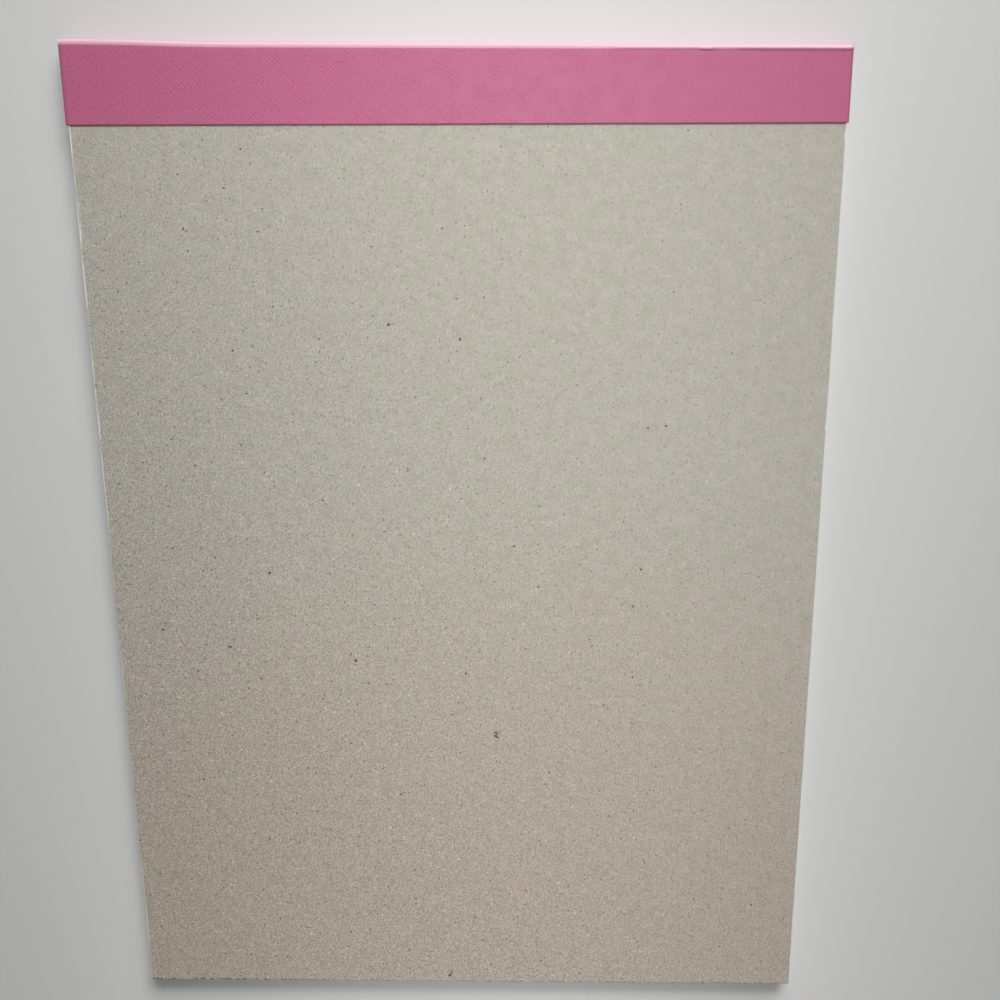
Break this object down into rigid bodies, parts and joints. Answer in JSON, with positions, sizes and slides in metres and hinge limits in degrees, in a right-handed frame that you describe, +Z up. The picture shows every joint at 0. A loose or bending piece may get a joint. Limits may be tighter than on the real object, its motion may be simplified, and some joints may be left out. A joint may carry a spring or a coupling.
{
  "type": "legal pad",
  "caption": "Tape-bound legal pad of ruled perforated sheets on a grey chipboard back, with a pink embossed tape folded over its stitched head.",
  "frame": {"origin": "centre of the bounding box's bottom, in the plane of the first sheet's face, with the pad lying face down", "axes": "+X across the pad, +Y from the foot to the bound head, +Z up, out of the backing board"},
  "size_m": [0.216, 0.2988, 0.0053],
  "materials": {
    "writing_paper": "white uncoated writing paper, ruled on the face",
    "chipboard": "uncoated grey chipboard with flecks and fibres",
    "embossed_tape": "pink coated paper tape, embossed like linen",
    "stitching_wire": "galvanised steel wire"
  },
  "bodies": {
    "root": {"sheet_block": "writing_paper", "backing_board": "chipboard", "binding_tape": "embossed_tape", "wire_stitches": "stitching_wire"}
  },
  "joints": []
}
